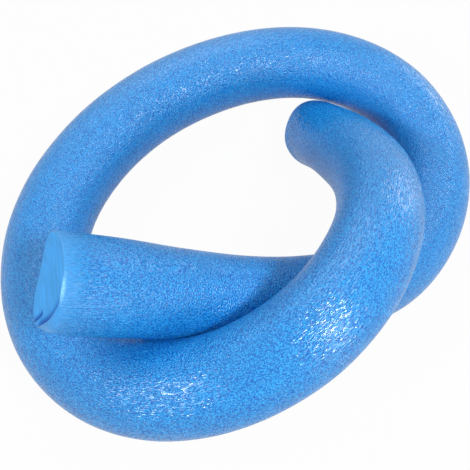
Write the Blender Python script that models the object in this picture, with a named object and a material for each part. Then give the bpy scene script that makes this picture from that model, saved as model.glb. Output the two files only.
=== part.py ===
"""A solid foam pool noodle, bent into one loose loop with both ends tucked in.

One straight round rod of foam, cut square at each end, follows a hand-chosen route: from the far
end, which rests on the floor against the inside of the loop, up over the near strand, down round
the left of the loop, over the top, under itself at the front and out over the left side to the
near end. It is flattened slightly at the three places where it rests on the floor.

Metres, +Z up. The origin is on the floor under the middle of the noodle's box.
"""

import math

import bmesh
import bpy
import numpy as np
from mathutils import Vector

# The noodle
NOODLE_DIAMETER = 0.065
NOODLE_LENGTH = 1.5
STRAND_CLEARANCE = 0.0007     # between strands that lie against each other
REST_FLAT_DEPTH = 0.0005      # how deep the floor flattens the foam

# How finely the rod is drawn
BEVEL_RESOLUTION = 12         # 28 sides
RINGS_PER_DIAMETER = 6
ROUTE_SAMPLES_PER_POINT = 80
SETTLING_PASSES = 3
WELD_SHARE = 0.0002           # of the diameter
SHARP_EDGE_DEGREES = 40

# How far the block that flattens the underside reaches past the noodle
CUT_OVERRUN = 0.02

# The route's points, near end first, as x, y and height in shares of the strand pitch, which is
# the rod's diameter and its clearance. The smooth route leans towards each point in turn.
ROUTE_SHARES = (
    (-2.15, -1.85, 2.15),     # near cut end, over the left of the loop
    (-1.70, -1.75, 1.90),
    (-0.90, -1.50, 1.28),
    (0.55, -1.30, 0.80),      # under the front strand
    (1.95, -0.70, 0.45),      # on the floor, at the right
    (2.80, 0.80, 0.50),
    (2.30, 2.25, 0.80),
    (0.80, 2.60, 1.05),       # the back of the loop, over the far end
    (-0.80, 2.10, 0.95),
    (-2.05, 1.10, 0.70),
    (-2.70, -0.40, 0.50),     # on the floor, at the left
    (-2.30, -1.90, 0.50),     # under the near end
    (-1.05, -2.70, 1.00),
    (0.45, -2.25, 1.75),
    (1.35, -0.95, 1.90),      # the front strand's crest, over the near strand
    (1.50, 0.50, 1.30),
    (1.10, 1.30, 0.70),
    (1.00, 1.68, 0.35),       # far cut end, its rim on the floor
)

# The route is drawn for a noodle of this many pitches. By this share of what a longer one adds,
# the loop's back half moves back. The rest of the added length sticks out at the near end.
DRAWN_LENGTH_SHARE = 22.831
BACK_HALF_SHARE = 1 / 6

# The stretches that rest on the floor, as shares of the route from its near end
REST_STRETCH_SHARES = ((0.12, 0.32), (0.50, 0.74), (0.93, 1.00))

# Two points are on different strands when they are this many diameters apart along the rod
OTHER_STRAND_SHARE = 2.2

# Foam: colour as red, green, blue in linear light
FOAM_COLOUR = (0.045, 0.30, 0.80, 1.0)
FOAM_ROUGHNESS = 0.55


def route_points():
    """The route's points, with the loop drawn out to suit the noodle's length."""
    pitch = NOODLE_DIAMETER + STRAND_CLEARANCE
    points = np.array(ROUTE_SHARES)
    back_half = points[:, 1] > 0
    points[back_half, 1] += (NOODLE_LENGTH / pitch - DRAWN_LENGTH_SHARE) * BACK_HALF_SHARE
    return points * pitch


def smooth_route(points):
    """Points along the smooth curve that the route's points draw, from the first to the last."""
    curve = bpy.data.curves.new("route", "CURVE")
    curve.dimensions = "3D"
    curve.resolution_u = ROUTE_SAMPLES_PER_POINT
    spline = curve.splines.new("NURBS")
    spline.points.add(len(points) - 1)
    for point, place in zip(spline.points, points):
        point.co = (*place, 1.0)
    spline.order_u = 4
    spline.use_endpoint_u = True
    guide = bpy.data.objects.new("route", curve)
    bpy.context.scene.collection.objects.link(guide)

    evaluated = guide.evaluated_get(bpy.context.evaluated_depsgraph_get())
    mesh = bpy.data.meshes.new_from_object(evaluated)
    route = np.array([vertex.co for vertex in mesh.vertices])
    bpy.data.objects.remove(guide)
    return route


def lengths_along(points):
    """Length of the polyline from its first point to each point."""
    steps = np.linalg.norm(np.diff(points, axis=0), axis=1)
    return np.concatenate([[0.0], np.cumsum(steps)])


def directions(points):
    """Unit direction of the polyline at each point."""
    along = np.gradient(points, axis=0)
    return along / np.linalg.norm(along, axis=1)[:, None]


def cut_to_length(route, length, count):
    """Evenly spaced points along the rod, near end first.

    The far end stays where it rests. The near end falls where the length says: a longer rod runs
    straight on past the route's first point.
    """
    from_far = route[::-1]
    lead = from_far[-1] + directions(from_far)[-1] * length
    from_far = np.vstack([from_far, lead])
    along = lengths_along(from_far)
    places = np.linspace(length, 0, count)
    return np.column_stack([np.interp(places, along, from_far[:, axis]) for axis in range(3)])


def lowest_points(route):
    """The lowest point of the rod's skin in each stretch that rests on the floor."""
    lowest = []
    for start_share, end_share in REST_STRETCH_SHARES:
        stretch = slice(int(start_share * len(route)), int(end_share * len(route)))
        along = directions(route)[stretch]
        down = np.array([0.0, 0.0, -1.0]) + along * along[:, 2:3]
        down /= np.linalg.norm(down, axis=1)[:, None]
        skin = route[stretch] + down * NOODLE_DIAMETER / 2
        lowest.append(Vector(skin[skin[:, 2].argmin()]))
    return lowest


def settle_on_floor(route):
    """Tilt and lower the route until its three resting places press equally into the floor."""
    for _ in range(SETTLING_PASSES):
        right, left, far_end = lowest_points(route)
        normal = (far_end - right).cross(left - right)
        level = normal.rotation_difference(Vector((0, 0, 1))).to_matrix()
        route = route @ np.array(level).T
        lowest = min(point.z for point in lowest_points(route))
        route = route - np.array([0, 0, lowest + REST_FLAT_DEPTH])
    return route


def least_gap(centres, skin):
    """Least distance from the skin's points to any other strand of the rod."""
    along = lengths_along(centres)
    least = math.inf
    for point in skin:
        apart = np.linalg.norm(centres - point, axis=1)
        other = np.abs(along - along[apart.argmin()]) > OTHER_STRAND_SHARE * NOODLE_DIAMETER
        least = min(least, apart[other].min() - NOODLE_DIAMETER / 2)
    return least


def make_collection(name):
    collection = bpy.data.collections.new(name)
    bpy.context.scene.collection.children.link(collection)
    return collection


def make_foam():
    """Closed-cell foam, bright blue and softly glossy."""
    material = bpy.data.materials.new("blue_foam")
    material.use_nodes = True
    shader = material.node_tree.nodes["Principled BSDF"]
    shader.inputs["Base Color"].default_value = FOAM_COLOUR
    shader.inputs["Roughness"].default_value = FOAM_ROUGHNESS
    shader.inputs["Metallic"].default_value = 0.0
    return material


def make_rod(name, centres, collection):
    """A round tube with flat filled ends along the centres, as a closed mesh."""
    curve = bpy.data.curves.new(name + "_route", "CURVE")
    curve.dimensions = "3D"
    curve.bevel_depth = NOODLE_DIAMETER / 2
    curve.bevel_resolution = BEVEL_RESOLUTION
    curve.use_fill_caps = True
    spline = curve.splines.new("POLY")
    spline.points.add(len(centres) - 1)
    for point, centre in zip(spline.points, centres):
        point.co = (*centre, 1.0)
    guide = bpy.data.objects.new(name + "_route", curve)
    collection.objects.link(guide)

    evaluated = guide.evaluated_get(bpy.context.evaluated_depsgraph_get())
    mesh = bpy.data.meshes.new_from_object(evaluated)
    rod = bpy.data.objects.new(name, mesh)
    rod.matrix_world = guide.matrix_world
    collection.objects.link(rod)
    bpy.data.objects.remove(guide)

    shape = bmesh.new()
    shape.from_mesh(mesh)
    bmesh.ops.remove_doubles(shape, verts=shape.verts, dist=NOODLE_DIAMETER * WELD_SHARE)
    shape.to_mesh(mesh)
    shape.free()
    mesh.shade_smooth()
    mesh.set_sharp_from_angle(angle=math.radians(SHARP_EDGE_DEGREES))
    return rod


def make_floor_cutter(rod, collection):
    """A block whose top is the floor, wider than the noodle."""
    reach = max(rod.dimensions.x, rod.dimensions.y) + CUT_OVERRUN * 2
    bpy.ops.mesh.primitive_cube_add(size=1, location=(0, 0, -CUT_OVERRUN / 2))
    cutter = bpy.context.object
    cutter.name = "floor_cutter"
    cutter.scale = (reach, reach, CUT_OVERRUN)
    cutter.hide_render = True
    cutter.display_type = "WIRE"
    for owner in cutter.users_collection:
        owner.objects.unlink(cutter)
    collection.objects.link(cutter)
    return cutter


def flatten_underside(rod, cutter):
    """Cut the rod level with the floor where it presses on it."""
    cut = rod.modifiers.new("floor_flats", "BOOLEAN")
    cut.operation = "DIFFERENCE"
    cut.solver = "EXACT"
    cut.object = cutter


def centre_over_origin(rod):
    """Move the rod sideways until its box is centred over the origin."""
    corners = np.array(rod.bound_box)
    middle = (corners.min(axis=0) + corners.max(axis=0)) / 2
    rod.location = (-middle[0], -middle[1], 0)


def main():
    for old in list(bpy.data.objects):
        bpy.data.objects.remove(old, do_unlink=True)

    parts = make_collection("pool_noodle")
    cutters = make_collection("cutters")

    route = settle_on_floor(smooth_route(route_points()))
    rings = round(NOODLE_LENGTH / NOODLE_DIAMETER * RINGS_PER_DIAMETER)
    rod = make_rod("foam_noodle", cut_to_length(route, NOODLE_LENGTH, rings), parts)
    rod.data.materials.append(make_foam())

    centres = cut_to_length(route, NOODLE_LENGTH, len(route))
    skin = np.array([vertex.co for vertex in rod.data.vertices])
    print("least gap of the noodle to itself, m:", least_gap(centres, skin))

    centre_over_origin(rod)
    flatten_underside(rod, make_floor_cutter(rod, cutters))


main()
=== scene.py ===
"""The finished look of a solid foam pool noodle, bent into one loose loop.

The rod is drawn again along the route of its plain solid, as one fine skin with the soft lumps,
stretch streaks and pebbled grain of extruded foam. The near end has the flattened side and the
folded lip that the knife left, and both cut faces are matte with fine drag lines.

Metres, +Z up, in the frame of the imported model.
"""

import math

import bpy
import numpy as np
from bpy.props import FloatProperty
from bpy.props import FloatVectorProperty
from bpy.props import IntProperty
from bpy.props import PointerProperty
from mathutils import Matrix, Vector
from mathutils import noise


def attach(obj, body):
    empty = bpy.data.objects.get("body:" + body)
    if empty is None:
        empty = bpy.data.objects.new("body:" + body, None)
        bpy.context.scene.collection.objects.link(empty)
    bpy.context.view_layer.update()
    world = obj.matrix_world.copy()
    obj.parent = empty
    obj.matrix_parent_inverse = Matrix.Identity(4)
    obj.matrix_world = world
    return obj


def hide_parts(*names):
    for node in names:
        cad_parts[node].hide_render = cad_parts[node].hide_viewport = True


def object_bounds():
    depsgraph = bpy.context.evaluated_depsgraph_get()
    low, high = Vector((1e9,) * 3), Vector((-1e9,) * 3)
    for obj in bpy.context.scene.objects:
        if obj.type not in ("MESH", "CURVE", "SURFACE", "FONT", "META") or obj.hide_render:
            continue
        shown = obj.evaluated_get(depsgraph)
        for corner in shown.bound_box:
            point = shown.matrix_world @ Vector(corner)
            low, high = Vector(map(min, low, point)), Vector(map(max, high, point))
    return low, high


bl_info = {
    "name": "Foam Pool Noodle",
    "version": (1, 0, 0),
    "blender": (4, 5, 0),
    "location": "View3D > Sidebar > Noodle",
    "description": "A solid foam pool noodle in a loose loop, on a white studio floor",
    "category": "Object",
}

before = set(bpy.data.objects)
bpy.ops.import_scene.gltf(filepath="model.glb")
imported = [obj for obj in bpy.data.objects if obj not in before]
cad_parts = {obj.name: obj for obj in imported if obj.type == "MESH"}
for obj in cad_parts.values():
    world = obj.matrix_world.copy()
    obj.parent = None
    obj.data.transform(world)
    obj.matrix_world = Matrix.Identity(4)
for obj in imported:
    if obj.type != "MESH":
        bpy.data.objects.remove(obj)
CAD_BOX = [list(corner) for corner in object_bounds()]

# The route's points, near end first, as x, y and height in shares of the strand pitch, which is
# the rod's diameter and its clearance. The smooth route leans towards each point in turn.
ROUTE_SHARES = (
    (-2.15, -1.85, 2.15),     # near cut end, over the left of the loop
    (-1.70, -1.75, 1.90),
    (-0.90, -1.50, 1.28),
    (0.55, -1.30, 0.80),      # under the front strand
    (1.95, -0.70, 0.45),      # on the floor, at the right
    (2.80, 0.80, 0.50),
    (2.30, 2.25, 0.80),
    (0.80, 2.60, 1.05),       # the back of the loop, over the far end
    (-0.80, 2.10, 0.95),
    (-2.05, 1.10, 0.70),
    (-2.70, -0.40, 0.50),     # on the floor, at the left
    (-2.30, -1.90, 0.50),     # under the near end
    (-1.05, -2.70, 1.00),
    (0.45, -2.25, 1.75),
    (1.35, -0.95, 1.90),      # the front strand's crest, over the near strand
    (1.50, 0.50, 1.30),
    (1.10, 1.30, 0.70),
    (1.00, 1.68, 0.35),       # far cut end, its rim on the floor
)
ROUTE_SAMPLES_PER_POINT = 80
EASING_REACH = 6              # points of the fine centreline

# The stretches that rest on the floor, as shares of the route from its near end
REST_STRETCH_SHARES = ((0.12, 0.32), (0.50, 0.74), (0.93, 1.00))
SETTLING_PASSES = 3

# The near end's section: angle in degrees from its underside, then the outline and the crease
# along the folded lip, both in radii. Where the two are the same there is no lip.
NEAR_END_SHARES = (
    (12, 0.370, 0.370),       # the flattened side
    (48, 0.290, 0.290),
    (83, 0.390, 0.390),
    (100, 0.560, 0.560),
    (111, 0.790, 0.790),
    (120, 0.940, 0.940),      # the rounded top corner
    (132, 0.985, 0.985),
    (165, 0.985, 0.985),
    (185, 0.970, 0.970),
    (200, 0.990, 0.990),
    (214, 1.000, 1.000),      # the lip begins
    (226, 1.000, 0.970),
    (239, 1.000, 0.930),
    (253, 1.005, 0.895),
    (268, 1.010, 0.860),
    (282, 0.975, 0.835),
    (290, 0.935, 0.835),
    (300, 0.890, 0.850),      # the lip ends
    (308, 0.865, 0.865),
    (317, 0.845, 0.845),      # the bottom corner
    (325, 0.770, 0.770),
    (342, 0.540, 0.540),
)
SECTION_EASING_PASSES = 3

# Parts of the near end's section: middle and half the width, in degrees from its underside
LIP_SIDE = (262, 100)
ROLLED_EDGE = (275, 45)
RAISED_RIM = (216, 22)

# The folded lip and the crease beside it
FULL_LIP_SHARE = 0.08         # the lip stands at its full height from this width, in radii
LEAST_LIP_SHARE = 0.03        # width that the lip's arch is drawn to, in radii
LIP_ARCH_POWER = 0.8          # under 1, so that the arch's top is nearer the outline
LIP_CREASE_SHARE = 0.95       # of the notch's depth
INNER_CREASE_SHARE = 1.6      # width inside the crease's line, in widths outside it

# A short notch in the cut face, from beside the crease to the outline, as two places in radii
NOTCH_SHARES = ((0.21, -0.60), (0.66, -0.52))

# Where the foam swells or is pressed in, as strands lean on each other: place along the rod,
# reach to each side of it, height, angle in degrees and half the width in degrees
SWELLINGS = (
    (0.040, 0.060, 0.0011, 130, 45),      # top of the near end
    (0.150, 0.070, -0.0005, 121, 45),     # near strand, inside the loop
    (0.300, 0.070, 0.0007, 275, 45),      # right of the loop, outside
    (0.750, 0.280, 0.0007, 68, 45),       # back and left of the loop, inside
    (1.090, 0.065, 0.0024, 130, 50),      # under the near strand
    (1.180, 0.100, 0.0006, 312, 45),      # front of the loop, outside
    (1.310, 0.050, -0.0004, 123, 45),     # front strand, inside the loop
    (1.475, 0.060, -0.0018, 70, 50),      # far end, inside the loop
    (1.500, 0.035, 0.0020, 180, 45),      # far end, beside the back strand
)

# The skin's relief: how much longer than wide a lump and a streak are, and how much wider than
# long a wrinkle is, the strain at which streaks and wrinkles are full, and each noise's start
LUMP_LENGTHENING, STREAK_LENGTHENING, WRINKLE_WIDENING = 1.6, 4, 3
FULL_STREAK_STRAIN, FULL_WRINKLE_STRAIN = 0.20, 0.22
LUMP_START, STREAK_START, WRINKLE_START = 3.1, 17.3, 41.7

# Rows of faces over a cut end: round its rim, across the lip, and from the crease to the middle
RIM_ROWS = 4
LIP_ROWS = 8
FACE_ROWS = 20
FACE_ROWS_POWER = 1.3         # over 1, so that they stand closer together at the crease
LEAST_LIP_RIMS = 1.5          # how far in the lip's rows reach where there is no lip
MIDDLE_SHARE = 0.03           # radius of the innermost row, in radii of the rod

# Rings that stand closer together at both ends of the tube
END_RINGS = 14
END_RINGS_REACH = 0.016
END_RINGS_POWER = 1.4         # over 1, so that they stand closest at the very end

# Noise in the foam: how many to the metre, two ways across the rod and along it, and its depth
DRAW_LINES, DRAW_LINE_DEPTH = (700, 700, 14), 0.00006
DIMPLES, DIMPLE_DEPTH = (190, 190, 110), 0.0004
BLOTCHES = (48, 48, 30)
DRAG_LINES, DRAG_LINE_DEPTH = (420, 40, 40), 0.00020
CUT_CELLS, CUT_CELL_DEPTH = (1500, 1500, 1500), 0.00010
CLOUDS, CLOUD_DEPTH = (90, 60, 60), 0.0008
USUAL_NOISE = (0.3, 0.7)      # between these lies nearly all of a noise

# The skin's pebbles: their length in widths, and how uneven their tops are
GRAIN_LENGTHENING, GRAIN_UNEVENNESS = 1.2, 0.9
RIDGE_LENGTHENING, RIDGE_UNEVENNESS = 4.0, 0.3
PEBBLE_REACH = 0.8                # from a pebble's middle to its foot, in widths
PEBBLE_BUMPS = (1.7, 1.7, 1.7)    # how many uneven spots to a pebble, each way
GRAIN_HEIGHTS = (0.5, 1.2)        # from the deep colour, partly painted shade in the pits, to the foam's own
FOAM_COLOUR_SHARE = 0.95          # of the foam's own colour on the tallest
RUBBED_HEIGHT = 0.92              # of the grain where it is rubbed flat
FINE_GRAIN_SHARES = (0.35, 0.20)  # of the grain's depth, in slack skin and in drawn skin

# Where the skin changes with how much a bend stretches it
DRAWN_STRAINS = (-0.09, 0.10)     # from slack to fully drawn out into ridges
SLACK_SHARES = (0.3, 0.95)        # of that, from all the pimples to none
GLOSSY_STRAINS = (-0.08, 0.04)    # from dullest to glossiest

# Where it is rubbed flat, and where it is paler beside a cut end, partly from wear and partly as
# painted light: how far from the rim each starts to fade and ends, and how much of it there is at
# the rim
RUBBED_REACH, RUBBED_SHARE = (0.001, 0.022), 0.75
PALE_REACH, PALE_SHARE = (0.001, 0.012), 0.25

# How the colours vary, lowest and highest, where 1 leaves them as they are
BLOTCH_TONES, DRAW_LINE_TONES = (0.95, 1.05), (0.97, 1.03)
DRAG_TONES, CLOUD_TONES = (0.84, 1.16), (0.95, 1.05)
# The cut face is paler towards its rim: partly wear, partly a painted highlight along the cut
# edge
CUT_EDGE_REACH, CUT_EDGE_TONE = 0.006, 1.06
RIM_HIGHLIGHT_SHARE = 0.6            # of the painted highlight's colour, along the raised rim

# The cut foam's roughness, and what is added to the skin's: from pebble to pebble, from slack
# skin to drawn skin, and at a rubbed rim
CUT_ROUGHNESS = (0.68, 0.82)
PEBBLE_ROUGHNESS = (-0.09, 0.12)
BEND_ROUGHNESS = (0.02, -0.04)
RUBBED_ROUGHNESS = 0.25
SKIN_SPECULAR, CUT_SPECULAR = 0.55, 0.25

# Each lamp's name, the setting with its power, the way to it from the noodle, and its width
LAMPS = (
    ("front_lamp", "front_power", (0.36, -0.43, 0.83), 0.26),
    ("left_lamp", "left_power", (-0.66, -0.46, 0.59), 0.22),
    ("back_lamp", "back_power", (-0.20, 0.62, 0.76), 0.90),
    ("front_right_lamp", "front_right_power", (0.68, -0.68, 0.26), 0.50),
    ("back_right_lamp", "back_right_power", (0.68, 0.65, 0.34), 0.50),
)
FLOOR_WIDTHS = 20             # the floor's width, in widths of the noodle
FLOOR_WHITE_SEEN = 0.96       # share of plain white in the floor, to the camera
FLOOR_WHITE_MIRRORED = 0.60   # and in the foam's gloss


# Sizes and colours that a user would change

class NoodleShape(bpy.types.PropertyGroup):
    """Sizes of the foam rod and of the relief in its skin."""

    diameter: FloatProperty(
        name="Diameter", description="Across the round rod", default=0.065, unit="LENGTH")
    length: FloatProperty(
        name="Length", description="Of the rod when it is straight", default=1.5, unit="LENGTH")
    strand_clearance: FloatProperty(
        name="Strand Clearance", description="Between strands that lie against each other",
        default=0.0007, unit="LENGTH")
    floor_flat: FloatProperty(
        name="Floor Flat", description="How deep the floor flattens the foam",
        default=0.0005, unit="LENGTH")
    sides: IntProperty(
        name="Sides", description="Faces round the rod", default=112, min=24)
    ring_spacing: FloatProperty(
        name="Ring Spacing", description="Length of one face along the rod",
        default=0.00184, unit="LENGTH")
    rim_rounding: FloatProperty(
        name="Rim Rounding", description="Radius of the edge round a cut face",
        default=0.0009, unit="LENGTH")
    lump_spacing: FloatProperty(
        name="Lump Spacing", description="Between the skin's soft lumps",
        default=0.022, unit="LENGTH")
    lump_height: FloatProperty(
        name="Lump Height", description="Of the skin's soft lumps", default=0.00018,
        unit="LENGTH")
    streak_spacing: FloatProperty(
        name="Streak Spacing", description="Between streaks on the outside of a bend",
        default=0.005, unit="LENGTH")
    streak_height: FloatProperty(
        name="Streak Height", description="Of streaks on the outside of a bend",
        default=0.00007, unit="LENGTH")
    wrinkle_spacing: FloatProperty(
        name="Wrinkle Spacing", description="Between wrinkles on the inside of a bend",
        default=0.008, unit="LENGTH")
    wrinkle_height: FloatProperty(
        name="Wrinkle Height", description="Of wrinkles on the inside of a bend",
        default=0.00012, unit="LENGTH")


class NoodleNearEnd(bpy.types.PropertyGroup):
    """The flattened side, lip and crease of the near cut end."""

    flat_reach: FloatProperty(
        name="Flat Reach", description="How far the flat side runs back from the end",
        default=0.075, unit="LENGTH")
    lip_reach: FloatProperty(
        name="Lip Reach", description="How far the lip's swelling runs back from the end",
        default=0.022, unit="LENGTH")
    roll_radius: FloatProperty(
        name="Roll Radius", description="Of the soft edge outside the lip", default=0.005,
        unit="LENGTH")
    lip_height: FloatProperty(
        name="Lip Height", description="How far the folded lip stands out of the cut face",
        default=0.0012, unit="LENGTH")
    crease_depth: FloatProperty(
        name="Crease Depth", description="Of the crease along the lip", default=0.0012,
        unit="LENGTH")
    crease_width: FloatProperty(
        name="Crease Width", description="Of the crease along the lip", default=0.0015,
        unit="LENGTH")
    raised_rim_height: FloatProperty(
        name="Raised Rim Height", description="Of the raised rim above the lip",
        default=0.0012, unit="LENGTH")
    raised_rim_width: FloatProperty(
        name="Raised Rim Width", description="Of the raised rim above the lip",
        default=0.0007, unit="LENGTH")


class NoodleFinish(bpy.types.PropertyGroup):
    """Colours and grain of the foam, with painted shade in the near end's crease and a painted
    highlight on its raised rim.
    """

    foam_colour: FloatVectorProperty(
        name="Foam Colour", description="Of the skin's pebbles", subtype="COLOR",
        default=(0.030, 0.400, 0.860), min=0, max=1)
    # Partly the foam's own tone and partly painted shade in the pits between the pebbles
    deep_colour: FloatVectorProperty(
        name="Deep Colour", description="Between the skin's pebbles", subtype="COLOR",
        default=(0.000, 0.135, 0.490), min=0, max=1)
    cut_colour: FloatVectorProperty(
        name="Cut Colour", description="Of the matte cut faces", subtype="COLOR",
        default=(0.060, 0.370, 0.860), min=0, max=1)
    # Partly wear and partly painted light: the skin is paler beside both cut ends
    worn_and_lit_colour: FloatVectorProperty(
        name="Worn And Lit Colour", description="Where the skin is rubbed beside a cut end",
        subtype="COLOR", default=(0.110, 0.410, 0.860), min=0, max=1)
    # Painted shade: the crease and notch beside the lip are darkened in colour
    crease_shade_colour: FloatVectorProperty(
        name="Crease Shade Colour", description="Deep in the crease beside the lip", subtype="COLOR",
        default=(0.001, 0.075, 0.420), min=0, max=1)
    # Painted highlight: the raised rim above the lip is lightened in colour
    rim_highlight_colour: FloatVectorProperty(
        name="Rim Highlight Colour", description="Along the raised rim above the lip",
        subtype="COLOR", default=(0.260, 0.680, 1.000), min=0, max=1)
    grain_size: FloatProperty(
        name="Grain Size", description="Of one pebble in the skin", default=0.0009,
        unit="LENGTH")
    grain_depth: FloatProperty(
        name="Grain Depth", description="Of the pebbled relief", default=0.00010,
        unit="LENGTH")
    pimple_size: FloatProperty(
        name="Pimple Size", description="Of one pimple where the skin is slack",
        default=0.0014, unit="LENGTH")
    pimple_depth: FloatProperty(
        name="Pimple Depth", description="Of the pimples where the skin is slack",
        default=0.00034, unit="LENGTH")
    ridge_width: FloatProperty(
        name="Ridge Width", description="Of one ridge where a bend draws the skin out",
        default=0.0013, unit="LENGTH")
    ridge_depth: FloatProperty(
        name="Ridge Depth", description="Of the drawn-out ridges", default=0.00038,
        unit="LENGTH")
    roughness: FloatProperty(
        name="Roughness", description="Of the skin", default=0.23, min=0, max=1,
        subtype="FACTOR")


class StudioSetup(bpy.types.PropertyGroup):
    """Floor, lamps and camera."""

    floor_size: FloatProperty(
        name="Floor Size", description="Width of the floor",
        default=FLOOR_WIDTHS * (CAD_BOX[1][0] - CAD_BOX[0][0]), unit="LENGTH")
    floor_colour: FloatVectorProperty(
        name="Floor Colour", description="Of the floor", subtype="COLOR",
        default=(0.60, 0.60, 0.60), min=0, max=1)
    sky_strength: FloatProperty(
        name="Sky Strength", description="Of the white surroundings as light", default=0.35)
    lamp_distance: FloatProperty(
        name="Lamp Distance", description="Of each lamp from the noodle", default=1.5,
        unit="LENGTH")
    front_power: FloatProperty(
        name="Front Lamp", description="Power of the lamp high at the front", default=12.2,
        unit="POWER")
    left_power: FloatProperty(
        name="Left Lamp", description="Power of the lamp at the left", default=7.0,
        unit="POWER")
    back_power: FloatProperty(
        name="Back Lamp", description="Power of the lamp high at the back", default=6.0,
        unit="POWER")
    front_right_power: FloatProperty(
        name="Front Right Lamp", description="Power of the low lamp at the front right",
        default=3.2, unit="POWER")
    back_right_power: FloatProperty(
        name="Back Right Lamp", description="Power of the low lamp at the back right",
        default=3.2, unit="POWER")
    camera_place: FloatVectorProperty(
        name="Camera Place", description="Of the camera", subtype="TRANSLATION",
        default=(-0.05539, -0.29365, 0.49002))
    camera_turn: FloatVectorProperty(
        name="Camera Turn", description="Of the camera", subtype="EULER",
        default=(math.radians(31.223), math.radians(-5.773), math.radians(1.054)))
    camera_lens: FloatProperty(
        name="Lens", description="Focal length, in millimetres", default=48.36)


# The rod's route

def smooth_step(values):
    """0 up to 0, 1 from 1 on, and a smooth rise between."""
    held = np.clip(values, 0, 1)
    return held * held * (3 - 2 * held)


def directions(points):
    """Unit direction of the polyline at each point."""
    along = np.gradient(points, axis=0)
    return along / np.linalg.norm(along, axis=1)[:, None]


def eased(points, reach):
    """The polyline's points, each averaged with its neighbours up to the reach."""
    weights = np.hanning(reach * 2 + 3)[1:-1]
    weights /= weights.sum()
    padded = np.pad(points, ((reach, reach), (0, 0)), mode="reflect", reflect_type="odd")
    return np.column_stack([np.convolve(padded[:, axis], weights, "valid") for axis in range(3)])


def smooth_route(points):
    """Points along the smooth curve that the route's points draw, from the first to the last."""
    curve = bpy.data.curves.new("route", "CURVE")
    curve.dimensions = "3D"
    curve.resolution_u = ROUTE_SAMPLES_PER_POINT
    spline = curve.splines.new("NURBS")
    spline.points.add(len(points) - 1)
    for point, place in zip(spline.points, points):
        point.co = (*place, 1.0)
    spline.order_u = 4
    spline.use_endpoint_u = True
    guide = bpy.data.objects.new("route", curve)
    bpy.context.scene.collection.objects.link(guide)
    evaluated = guide.evaluated_get(bpy.context.evaluated_depsgraph_get())
    mesh = bpy.data.meshes.new_from_object(evaluated)
    route = np.array([vertex.co for vertex in mesh.vertices])
    bpy.data.objects.remove(guide)
    bpy.data.curves.remove(curve)
    bpy.data.meshes.remove(mesh)
    return route


def lowest_points(route, radius):
    """The lowest point of the rod's skin in each stretch that rests on the floor."""
    lowest = []
    for start_share, end_share in REST_STRETCH_SHARES:
        stretch = slice(int(start_share * len(route)), int(end_share * len(route)))
        along = directions(route)[stretch]
        down = np.array([0.0, 0.0, -1.0]) + along * along[:, 2:3]
        down /= np.linalg.norm(down, axis=1)[:, None]
        skin = route[stretch] + down * radius
        lowest.append(Vector(skin[skin[:, 2].argmin()]))
    return lowest


def settle_on_floor(route, shape):
    """Tilt and lower the route until its three resting places press equally into the floor."""
    radius = shape.diameter / 2
    for _ in range(SETTLING_PASSES):
        right, left, far_end = lowest_points(route, radius)
        normal = (far_end - right).cross(left - right)
        level = normal.rotation_difference(Vector((0, 0, 1))).to_matrix()
        route = route @ np.array(level).T
        lowest = min(point.z for point in lowest_points(route, radius))
        route = route - np.array([0, 0, lowest + shape.floor_flat])
    return route


def rod_centres(shape, count):
    """Evenly spaced points along the rod, near end first, centred in plan over the origin."""
    pitch = shape.diameter + shape.strand_clearance
    route = settle_on_floor(smooth_route(np.array(ROUTE_SHARES) * pitch), shape)
    from_far = route[::-1]
    lead = from_far[-1] + directions(from_far)[-1] * shape.length
    from_far = np.vstack([from_far, lead])
    steps = np.linalg.norm(np.diff(from_far, axis=0), axis=1)
    along = np.concatenate([[0.0], np.cumsum(steps)])
    places = np.linspace(shape.length, 0, count)
    centres = np.column_stack(
        [np.interp(places, along, from_far[:, axis]) for axis in range(3)])

    reach = shape.diameter / 2 * np.sqrt(1 - directions(centres) ** 2)
    middle = ((centres - reach).min(axis=0) + (centres + reach).max(axis=0)) / 2
    return centres - np.array([middle[0], middle[1], 0])


def section_axes(along):
    """Two directions across the rod at each point, the first of them down at the near end."""
    down = np.array([0.0, 0.0, -1.0])
    firsts = []
    for step in along:
        across = down - step * (down @ step)
        down = across / np.linalg.norm(across)
        firsts.append(down)
    firsts = np.array(firsts)
    return firsts, np.cross(along, firsts)


def centreline(shape, lengths):
    """The rod's centres, directions, two section axes and bend at these lengths along it."""
    fine = np.linspace(0, shape.length, round(shape.length / shape.ring_spacing) * 2)
    centres = eased(rod_centres(shape, len(fine)), EASING_REACH)
    along = directions(centres)
    bend = np.gradient(along, fine, axis=0)
    return [
        np.column_stack([np.interp(lengths, fine, values[:, axis]) for axis in range(3)])
        for values in (centres, along, *section_axes(along), bend)]


# The rod's surface, in rows from the middle of the near cut face to the middle of the far one

class Rows:
    """The rows' places on the straight rod: lengths along it and shares of its radius."""

    def __init__(self, shape, near_outline, near_crease):
        rim = shape.rim_rounding
        rim_share = rim / (shape.diameter / 2)
        near = cut_end_shares(near_crease / near_outline, rim_share)
        far = cut_end_shares(np.ones_like(near_outline), rim_share)
        tube = ring_places(shape)
        self.shares = np.concatenate(
            [near[::-1], np.ones((len(tube), shape.sides)), far])
        self.lengths = np.concatenate(
            [np.full(len(near), rim), tube, np.full(len(far), shape.length - rim)])
        self.near = slice(0, len(near))
        self.far = slice(len(self.shares) - len(far), None)


def ring_places(shape):
    """Length of each ring of the tube from the near end, closer together near both ends."""
    start, stop = shape.rim_rounding, shape.length - shape.rim_rounding
    closer = END_RINGS_REACH * np.linspace(0, 1, END_RINGS, endpoint=False) ** END_RINGS_POWER
    count = round((stop - start - END_RINGS_REACH * 2) / shape.ring_spacing)
    even = np.linspace(start + END_RINGS_REACH, stop - END_RINGS_REACH, count)
    return np.concatenate([start + closer, even, stop - closer[::-1]])


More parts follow.
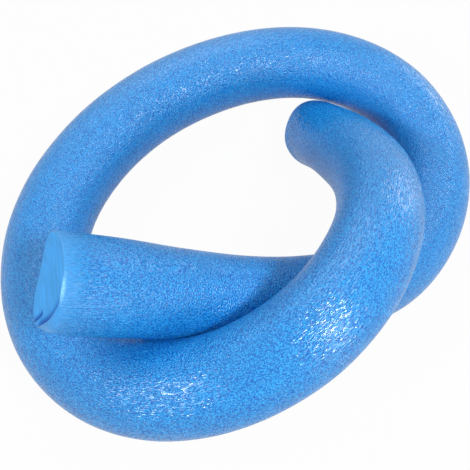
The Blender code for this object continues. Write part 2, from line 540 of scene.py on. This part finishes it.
def cut_end_shares(crease, rim_share):
    """Radius shares of the rows over a cut end, from its rim to near its middle."""
    turns = np.linspace(0, math.pi / 2, RIM_ROWS + 1)[1:, None]
    rim = 1 - rim_share * (1 - np.cos(turns)) * np.ones_like(crease)
    lip_end = np.minimum(crease, 1 - rim_share * LEAST_LIP_RIMS)
    lip = rim[-1] + (lip_end - rim[-1]) * np.linspace(0, 1, LIP_ROWS + 1)[1:, None]
    inward = np.linspace(0, 1, FACE_ROWS + 1)[1:, None] ** FACE_ROWS_POWER
    face = lip_end + (MIDDLE_SHARE - lip_end) * inward
    return np.concatenate([rim, lip, face])


def near_end_section(angles):
    """The near end's outline and crease at these angles, in radii, with their corners eased."""
    table = np.array(NEAR_END_SHARES)
    outline, crease = (
        np.interp(np.degrees(angles), table[:, 0], table[:, column], period=360)
        for column in (1, 2))
    for _ in range(SECTION_EASING_PASSES):
        outline, crease = (
            (np.roll(values, 1) + 2 * values + np.roll(values, -1)) / 4
            for values in (outline, crease))
    return outline, np.minimum(crease, outline)


def angle_bump(angles, middle_degrees, half_width_degrees):
    """1 at the middle angle and 0 beyond the half width, with a smooth fall between."""
    turned = (np.degrees(angles) - middle_degrees + 180) % 360 - 180
    return smooth_step(1 - np.abs(turned) / half_width_degrees)


def swell_heights(lengths, angles):
    """How far the foam swells at each length along the rod and angle round it."""
    swell = np.zeros((len(lengths), len(angles)))
    for place, reach, height, middle, half_width in SWELLINGS:
        near = smooth_step(1 - np.abs(lengths - place) / reach)
        swell += height * near[:, None] * angle_bump(angles, middle, half_width)
    return swell


def beside_line(places, start, end, width):
    """1 along the straight line from start to end, fading over the width."""
    start, end = np.array(start), np.array(end)
    line = end - start
    share = np.clip((places - start) @ line / (line @ line), 0, 1)
    off = np.linalg.norm(places - start - share[..., None] * line, axis=-1)
    return np.exp(-(off / width) ** 2)


def rim_heights(shares, shape):
    """How far the rounded rim and the flat cut inside it stand out at each radius share."""
    radius = shape.diameter / 2
    inward = np.clip((1 - shares) * radius / shape.rim_rounding, 0, 1)
    return shape.rim_rounding * np.sqrt(1 - (1 - inward) ** 2)


def lip_growth(outline, crease):
    """0 where there is no lip, and 1 where it stands at its full height."""
    return smooth_step((outline - crease) / FULL_LIP_SHARE)


def near_end_creases(shares, angles, outline, crease, end, radius):
    """1 in the notch and somewhat less in the crease beside the lip, fading to 0 beside them."""
    inwards = (crease - shares * outline) * radius
    width = np.where(inwards > 0, end.crease_width * INNER_CREASE_SHARE, end.crease_width)
    along_lip = LIP_CREASE_SHARE * lip_growth(outline, crease) * np.exp(-(inwards / width) ** 2)
    across = np.stack([np.cos(angles), np.sin(angles)], axis=-1)
    places = (shares * outline)[..., None] * across
    return np.maximum(along_lip, beside_line(places, *NOTCH_SHARES, end.crease_width / radius))


def lip_heights(shares, outline, crease, end):
    """How far the near end's lip stands out of its cut face."""
    lip_width = np.maximum(outline - crease, LEAST_LIP_SHARE)
    across_lip = np.clip((1 - shares) * outline / lip_width, 0, 1)
    arch = np.sin(math.pi * across_lip ** LIP_ARCH_POWER)
    return lip_growth(outline, crease) * end.lip_height * arch


def cut_faces(rows, angles, outline, crease, shape, end):
    """How far the cut ends stand out along the rod, and where they are creased and raised."""
    radius = shape.diameter / 2
    near, far = rows.near, rows.far
    creased = np.zeros_like(rows.shares)
    creased[near] = near_end_creases(rows.shares[near], angles, outline, crease, end, radius)
    from_edge = np.hypot(rows.lengths[:, None] - shape.rim_rounding, (1 - rows.shares) * radius)
    raised = np.exp(-(from_edge / end.raised_rim_width) ** 2) * angle_bump(angles, *RAISED_RIM)

    heights = np.zeros_like(rows.shares)
    heights[near] = rim_heights(rows.shares[near], shape)
    heights[near] += lip_heights(rows.shares[near], outline, crease, end)
    heights += end.raised_rim_height * raised * (rows.shares < 1) - end.crease_depth * creased
    heights[far] = rim_heights(rows.shares[far], shape)
    heights[near] *= -1
    return heights, creased, raised


def section_shares(lengths, angles, outline, shape, end):
    """The section's outline at each length, in radii: round, and shaped towards the near end."""
    flattening = 1 - smooth_step(lengths / end.flat_reach)[:, None]
    swelling = 1 - smooth_step(lengths / end.lip_reach)[:, None]
    lip_side = angle_bump(angles, *LIP_SIDE)
    change = flattening * (1 - lip_side) + swelling * lip_side
    inside_roll = np.clip(1 - lengths / end.roll_radius, 0, 1)[:, None]
    rolled = end.roll_radius / (shape.diameter / 2) * (1 - np.sqrt(1 - inside_roll ** 2))
    return 1 + (outline - 1) * change - rolled * angle_bump(angles, *ROLLED_EDGE)


def field(places, spacing, start):
    """Smooth noise, about -1 to 1, at each place. The spacing has one value for each axis."""
    scaled_places = places.reshape(-1, 3) / np.array(spacing) + start
    values = np.array([noise.noise(place) for place in scaled_places.tolist()])
    return values.reshape(places.shape[:-1])


def skin_relief(places, strain, shape):
    """How far the skin stands out at each place of the straight rod."""
    lump, streak, wrinkle = shape.lump_spacing, shape.streak_spacing, shape.wrinkle_spacing
    wide = wrinkle * WRINKLE_WIDENING
    relief = shape.lump_height * field(
        places, (lump, lump, lump * LUMP_LENGTHENING), LUMP_START)
    relief += smooth_step(strain / FULL_STREAK_STRAIN) * shape.streak_height * field(
        places, (streak, streak, streak * STREAK_LENGTHENING), STREAK_START)
    relief += smooth_step(-strain / FULL_WRINKLE_STRAIN) * shape.wrinkle_height * field(
        places, (wide, wide, wrinkle), WRINKLE_START)
    return relief


def rod_surface(shape, end):
    """Points by row and side, their places on the straight rod, and what the materials need."""
    radius = shape.diameter / 2
    angles = np.linspace(0, math.tau, shape.sides, endpoint=False)
    outline, crease = near_end_section(angles)
    rows = Rows(shape, outline, crease)
    centres, along, first, second, bend = centreline(shape, rows.lengths)
    across = (np.cos(angles)[:, None] * first[:, None, :]
              + np.sin(angles)[:, None] * second[:, None, :])
    strain = -np.einsum("rk,rsk->rs", bend, across) * radius

    outwards, creased, raised = cut_faces(rows, angles, outline, crease, shape, end)
    places = np.stack([
        rows.shares * radius * np.cos(angles),
        rows.shares * radius * np.sin(angles),
        rows.lengths[:, None] + outwards,
    ], axis=-1)
    relief = skin_relief(places, strain, shape) + swell_heights(rows.lengths, angles)
    section = section_shares(rows.lengths, angles, outline, shape, end)
    out = (radius * rows.shares * section + relief * rows.shares)[..., None] * across
    points = centres[:, None, :] + out + outwards[..., None] * along[:, None, :]
    points[..., 2] = np.maximum(points[..., 2], 0)

    from_ends = np.minimum(rows.lengths, shape.length - rows.lengths)[:, None]
    from_rim = np.hypot(from_ends, (1 - rows.shares) * radius)
    return points, places, {
        "stretch": strain, "from_rim": from_rim, "creased": creased, "raised_rim": raised}


def closed_faces(rows, sides):
    """Faces between the rows, and a fan of triangles over the middle of each cut end."""
    corner = np.arange(rows * sides).reshape(rows, sides)
    beside = np.roll(corner, -1, axis=1)
    quads = np.stack([corner[:-1], beside[:-1], beside[1:], corner[1:]], axis=-1)
    near_middle, far_middle = rows * sides, rows * sides + 1
    near_fan = [(near_middle, b, a) for a, b in zip(corner[0], beside[0])]
    far_fan = [(far_middle, a, b) for a, b in zip(corner[-1], beside[-1])]
    return quads.reshape(-1, 4).tolist(), near_fan, far_fan


def foam_mesh(name, shape, end):
    """The rod's closed mesh: skin in the first material slot and cut foam in the second."""
    points, places, layers = rod_surface(shape, end)
    rows, sides = points.shape[:2]

    def with_middles(values):
        middles = values[[0, -1]].mean(axis=1)
        return np.concatenate([values.reshape(rows * sides, *values.shape[2:]), middles])

    quads, near_fan, far_fan = closed_faces(rows, sides)
    mesh = bpy.data.meshes.new(name)
    mesh.from_pydata(with_middles(points).tolist(), [], quads + near_fan + far_fan)
    mesh.shade_smooth()

    cut = np.zeros(len(mesh.polygons), dtype=np.int32)
    cut[:FACE_ROWS * sides] = 1
    cut[(rows - 1 - FACE_ROWS) * sides:] = 1
    mesh.polygons.foreach_set("material_index", cut)
    straight_place = mesh.attributes.new("straight_place", "FLOAT_VECTOR", "POINT")
    straight_place.data.foreach_set("vector", with_middles(places).ravel())
    for layer_name, values in layers.items():
        layer = mesh.attributes.new(layer_name, "FLOAT", "POINT")
        layer.data.foreach_set("value", with_middles(values))
    return mesh


# Materials

def add_node(tree, kind, inputs, **settings):
    """A shader node. Each input is linked where it is given a socket, and set where not."""
    node = tree.nodes.new("ShaderNode" + kind)
    for setting, value in settings.items():
        setattr(node, setting, value)
    for socket, value in inputs.items():
        if isinstance(value, bpy.types.NodeSocket):
            tree.links.new(value, node.inputs[socket])
        else:
            node.inputs[socket].default_value = value
    return node


def new_material(name):
    """A material with its tree and its Principled shader."""
    material = bpy.data.materials.new(name)
    material.use_nodes = True
    return material, material.node_tree, material.node_tree.nodes["Principled BSDF"]


def attribute(tree, name, output="Fac"):
    """What the mesh keeps under this name, as a number or as the output asked for."""
    return add_node(tree, "Attribute", {}, attribute_name=name).outputs[output]


def scaled(tree, place, scale):
    """The place with each of its axes multiplied by a number or by a socket's value."""
    factors = add_node(tree, "CombineXYZ", dict(zip("XYZ", scale)))
    return add_node(
        tree, "VectorMath", {0: place, 1: factors.outputs[0]}, operation="MULTIPLY").outputs[0]


def noise_at(tree, place, scale, detail):
    """Noise between 0 and 1, with about as many features in a unit of place as the scale says."""
    return add_node(
        tree, "TexNoise",
        {"Vector": scaled(tree, place, scale), "Scale": 1.0, "Detail": detail}).outputs["Fac"]


def ranged(tree, value, from_range, to_range, smooth=False):
    """The value, with its range moved to another range and held there."""
    inputs = {"Value": value}
    inputs["From Min"], inputs["From Max"] = from_range
    inputs["To Min"], inputs["To Max"] = to_range
    return add_node(
        tree, "MapRange", inputs,
        interpolation_type="SMOOTHSTEP" if smooth else "LINEAR").outputs["Result"]


def calculated(tree, operation, *values):
    """The result of a Math node on the values."""
    return add_node(tree, "Math", dict(enumerate(values)), operation=operation).outputs[0]


def blended(tree, share, first, second):
    """The second number over the first one, by the share."""
    return add_node(tree, "Mix", {0: share, 2: first, 3: second}).outputs[0]


def mixed_colours(tree, share, first, second):
    """The second colour over the first one, by the share."""
    inputs = {0: share}
    for socket, colour in ((6, first), (7, second)):
        inputs[socket] = colour if isinstance(colour, bpy.types.NodeSocket) else (*colour, 1.0)
    return add_node(tree, "Mix", inputs, data_type="RGBA").outputs[2]


def toned(tree, colour, tone):
    """The colour, lighter or darker by the tone."""
    return add_node(
        tree, "VectorMath", {0: colour, "Scale": tone}, operation="SCALE").outputs[0]


def bumped(tree, *heights):
    """A normal bumped by each height in turn, each with its depth."""
    normal = None
    for height, depth in heights:
        inputs = {"Height": height, "Distance": depth}
        if normal:
            inputs["Normal"] = normal
        normal = add_node(tree, "Bump", inputs).outputs["Normal"]
    return normal


def pebbles(tree, place, width, length, unevenness):
    """Heights and gloss, each about 0 to 1, of pebbles this wide and this long along the rod."""
    at = scaled(tree, place, (1 / width, 1 / width, 1 / length))
    cell = add_node(tree, "TexVoronoi", {"Vector": at, "Scale": 1.0}, feature="F1")
    dome = ranged(
        tree, cell.outputs["Distance"], (0.0, PEBBLE_REACH), (1.0, 0.0), smooth=True)
    uneven = noise_at(tree, at, PEBBLE_BUMPS, detail=1.0)
    height = calculated(tree, "MULTIPLY_ADD", uneven, unevenness, dome)
    gloss = add_node(tree, "SeparateColor", {0: cell.outputs["Color"]}).outputs[0]
    return height, gloss


def with_crease_shade_and_rim_highlight(tree, colour, finish):
    """The colour with painted shade in the near end's crease and notch and a painted highlight
    along its raised rim.
    """
    # Painted shade in the crease and notch
    shaded = mixed_colours(tree, attribute(tree, "creased"), colour, finish.crease_shade_colour)
    # Painted highlight along the raised rim
    raised = ranged(tree, attribute(tree, "raised_rim"), (0.0, 1.0), (0.0, RIM_HIGHLIGHT_SHARE))
    return mixed_colours(tree, raised, shaded, finish.rim_highlight_colour)


def make_skin(finish):
    """Extruded foam skin: pebbled, softly glossy, drawn out where a bend stretches it."""
    material, tree, shader = new_material("foam_skin")
    shader.inputs["Specular IOR Level"].default_value = SKIN_SPECULAR
    place = attribute(tree, "straight_place", "Vector")
    stretch = attribute(tree, "stretch")
    from_rim = attribute(tree, "from_rim")

    # Fine pebbles, which are rubbed flat beside a cut end
    size = finish.grain_size
    grain, grain_gloss = pebbles(tree, place, size, size * GRAIN_LENGTHENING, GRAIN_UNEVENNESS)
    rubbed = ranged(tree, from_rim, RUBBED_REACH, (RUBBED_SHARE, 0.0), smooth=True)
    grain = blended(tree, rubbed, grain, RUBBED_HEIGHT)

    # Pimples where the skin is slack, and ridges where a bend draws it out
    size, width = finish.pimple_size, finish.ridge_width
    pimples, _ = pebbles(tree, place, size, size, RIDGE_UNEVENNESS)
    ridges, ridge_gloss = pebbles(
        tree, place, width, width * RIDGE_LENGTHENING, RIDGE_UNEVENNESS)
    drawn = ranged(tree, stretch, DRAWN_STRAINS, (0.0, 1.0), smooth=True)
    slack = ranged(tree, drawn, SLACK_SHARES, (1.0, 0.0))
    fine = ranged(tree, drawn, (0.0, 1.0), FINE_GRAIN_SHARES)

    # Draw lines from the die, along the whole rod, and soft dimples between them
    lines = noise_at(tree, place, DRAW_LINES, detail=3.0)
    dimples = noise_at(tree, place, DIMPLES, detail=2.0)
    normal = bumped(
        tree, (dimples, DIMPLE_DEPTH), (lines, DRAW_LINE_DEPTH),
        (calculated(tree, "MULTIPLY", ridges, drawn), finish.ridge_depth),
        (calculated(tree, "MULTIPLY", pimples, slack), finish.pimple_depth),
        (calculated(tree, "MULTIPLY", grain, fine), finish.grain_depth))
    tree.links.new(normal, shader.inputs["Normal"])

    # Deeper blue between the pebbles, partly the foam's own tone and partly painted shade in the
    # pits, uneven from place to place, and paler beside a cut end, partly from wear and partly as
    # painted light
    raised = ranged(tree, grain, GRAIN_HEIGHTS, (0.0, FOAM_COLOUR_SHARE))
    colour = mixed_colours(tree, raised, finish.deep_colour, finish.foam_colour)
    blotches = noise_at(tree, place, BLOTCHES, detail=3.0)
    tone = calculated(
        tree, "MULTIPLY", ranged(tree, blotches, USUAL_NOISE, BLOTCH_TONES),
        ranged(tree, lines, USUAL_NOISE, DRAW_LINE_TONES))
    # Paler beside a cut end: partly wear, partly painted light
    pale = ranged(tree, from_rim, PALE_REACH, (PALE_SHARE, 0.0), smooth=True)
    worn_and_lit = mixed_colours(tree, pale, toned(tree, colour, tone), finish.worn_and_lit_colour)
    tree.links.new(with_crease_shade_and_rim_highlight(tree, worn_and_lit, finish), shader.inputs["Base Color"])

    # A bend's tight outside is glossier than its slack inside, and both than a rubbed edge
    gloss = blended(tree, drawn, grain_gloss, ridge_gloss)
    smoothest, roughest = (finish.roughness + added for added in PEBBLE_ROUGHNESS)
    uneven = ranged(tree, gloss, (0.0, 1.0), (smoothest, roughest))
    bent = ranged(tree, stretch, GLOSSY_STRAINS, BEND_ROUGHNESS, smooth=True)
    matte = ranged(tree, rubbed, (0.0, 1.0), (0.0, RUBBED_ROUGHNESS))
    rough = calculated(tree, "ADD", calculated(tree, "ADD", uneven, bent), matte)
    tree.links.new(rough, shader.inputs["Roughness"])
    return material


def make_cut_foam(finish):
    """Knife-cut foam: matte, a little paler and greener, with fine drag lines."""
    material, tree, shader = new_material("cut_foam")
    shader.inputs["Specular IOR Level"].default_value = CUT_SPECULAR
    place = attribute(tree, "straight_place", "Vector")
    from_rim = attribute(tree, "from_rim")
    drag = noise_at(tree, place, DRAG_LINES, detail=3.0)
    cells = noise_at(tree, place, CUT_CELLS, detail=2.0)
    clouds = noise_at(tree, place, CLOUDS, detail=3.0)
    normal = bumped(
        tree, (clouds, CLOUD_DEPTH), (drag, DRAG_LINE_DEPTH), (cells, CUT_CELL_DEPTH))
    tree.links.new(normal, shader.inputs["Normal"])

    tone = calculated(
        tree, "MULTIPLY", ranged(tree, drag, USUAL_NOISE, DRAG_TONES),
        ranged(tree, clouds, USUAL_NOISE, CLOUD_TONES))
    # Paler towards the rim: partly wear, partly a painted highlight
    edge = ranged(tree, from_rim, (0.0, CUT_EDGE_REACH), (CUT_EDGE_TONE, 1.0), smooth=True)
    colour = toned(tree, finish.cut_colour, calculated(tree, "MULTIPLY", tone, edge))
    tree.links.new(with_crease_shade_and_rim_highlight(tree, colour, finish), shader.inputs["Base Color"])
    rough = ranged(tree, cells, USUAL_NOISE, CUT_ROUGHNESS)
    tree.links.new(rough, shader.inputs["Roughness"])
    return material


# The pieces and the stage

class MakeFoamNoodle(bpy.types.Operator):
    """Make the bent foam rod with its skin and cut ends"""

    bl_idname = "noodle.make_foam_noodle"
    bl_label = "Make Foam Noodle"

    def execute(self, context):
        scene = context.scene
        mesh = foam_mesh("noodle", scene.noodle_shape, scene.noodle_near_end)
        noodle = bpy.data.objects.new("noodle", mesh)
        scene.collection.objects.link(noodle)
        mesh.materials.append(make_skin(scene.noodle_finish))
        mesh.materials.append(make_cut_foam(scene.noodle_finish))
        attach(noodle, "root")
        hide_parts("foam_noodle")
        return {"FINISHED"}


def seen_directly(tree):
    """1 for rays from the camera, a mirror or clear glass, and 0 for light that scatters."""
    path = add_node(tree, "LightPath", {})
    either = calculated(
        tree, "MAXIMUM", path.outputs["Is Camera Ray"], path.outputs["Is Glossy Ray"])
    return calculated(tree, "MAXIMUM", either, path.outputs["Is Transmission Ray"])


def make_floor_paint(studio):
    """White floor paint that keeps the noodle's soft shadow."""
    material, tree, shader = new_material("floor_paint")
    tree.nodes.remove(shader)
    paint = add_node(tree, "BsdfDiffuse", {"Color": (*studio.floor_colour, 1.0)})
    white = add_node(tree, "Emission", {"Color": (1.0, 1.0, 1.0, 1.0), "Strength": 1.0})
    camera_ray = add_node(tree, "LightPath", {}).outputs["Is Camera Ray"]
    share = calculated(
        tree, "MAXIMUM", calculated(tree, "MULTIPLY", camera_ray, FLOOR_WHITE_SEEN),
        calculated(tree, "MULTIPLY", seen_directly(tree), FLOOR_WHITE_MIRRORED))
    both = add_node(tree, "MixShader", {0: share, 1: paint.outputs[0], 2: white.outputs[0]})
    tree.links.new(both.outputs[0], tree.nodes["Material Output"].inputs["Surface"])
    return material


def make_white_world(scene, strength):
    """Surroundings that are white to look at, and lend a plain level of light."""
    world = bpy.data.worlds.new("white_surroundings")
    world.use_nodes = True
    tree = world.node_tree
    level = ranged(tree, seen_directly(tree), (0.0, 1.0), (strength, 1.0))
    tree.links.new(level, tree.nodes["Background"].inputs["Strength"])
    tree.nodes["Background"].inputs["Color"].default_value = (1.0, 1.0, 1.0, 1.0)
    scene.world = world


def add_lamp(scene, name, towards, distance, size, power):
    """A soft square lamp that shines on the noodle from one direction."""
    light = bpy.data.lights.new(name, "AREA")
    light.size = size
    light.energy = power
    lamp = bpy.data.objects.new(name, light)
    aim = Vector(towards).normalized()
    lamp.location = aim * distance
    lamp.rotation_euler = aim.to_track_quat("Z", "Y").to_euler()
    lamp.visible_camera = False
    scene.collection.objects.link(lamp)


def add_camera(scene, studio):
    """The scene's camera, where the photographer stood."""
    camera = bpy.data.objects.new("camera", bpy.data.cameras.new("camera"))
    camera.location = studio.camera_place
    camera.rotation_euler = studio.camera_turn
    camera.data.lens = studio.camera_lens
    camera.data.clip_start = 0.01
    scene.collection.objects.link(camera)
    scene.camera = camera


class MakeStudio(bpy.types.Operator):
    """Make the white floor, the surroundings, the lamps and the camera"""

    bl_idname = "noodle.make_studio"
    bl_label = "Make Studio"

    def execute(self, context):
        scene = context.scene
        studio = scene.noodle_studio
        bpy.ops.mesh.primitive_plane_add(size=studio.floor_size)
        floor = context.object
        floor.name = "floor"
        floor.data.materials.append(make_floor_paint(studio))
        make_white_world(scene, studio.sky_strength)
        for name, power, towards, size in LAMPS:
            add_lamp(scene, name, towards, studio.lamp_distance, size, getattr(studio, power))
        add_camera(scene, studio)
        scene.view_settings.view_transform = "Standard"
        return {"FINISHED"}


class NOODLE_PT_sidebar(bpy.types.Panel):
    """Lists what the noodle is made with"""

    bl_idname = "NOODLE_PT_sidebar"
    bl_label = "Foam Pool Noodle"
    bl_space_type = "VIEW_3D"
    bl_region_type = "UI"
    bl_category = "Noodle"

    def draw(self, context):
        for group in SETTINGS:
            settings = getattr(context.scene, group)
            box = self.layout.box()
            for name in settings.__annotations__:
                box.prop(settings, name)
        for operator in (MakeFoamNoodle, MakeStudio):
            self.layout.operator(operator.bl_idname)


SETTINGS = {
    "noodle_shape": NoodleShape,
    "noodle_near_end": NoodleNearEnd,
    "noodle_finish": NoodleFinish,
    "noodle_studio": StudioSetup,
}
CLASSES = (*SETTINGS.values(), MakeFoamNoodle, MakeStudio, NOODLE_PT_sidebar)


def register():
    for made in CLASSES:
        bpy.utils.register_class(made)
    for name, group in SETTINGS.items():
        setattr(bpy.types.Scene, name, PointerProperty(type=group))


def unregister():
    for name in SETTINGS:
        delattr(bpy.types.Scene, name)
    for made in reversed(CLASSES):
        bpy.utils.unregister_class(made)


def main():
    register()
    bpy.ops.noodle.make_foam_noodle()
    bpy.ops.noodle.make_studio()


if __name__ == "__main__":
    main()
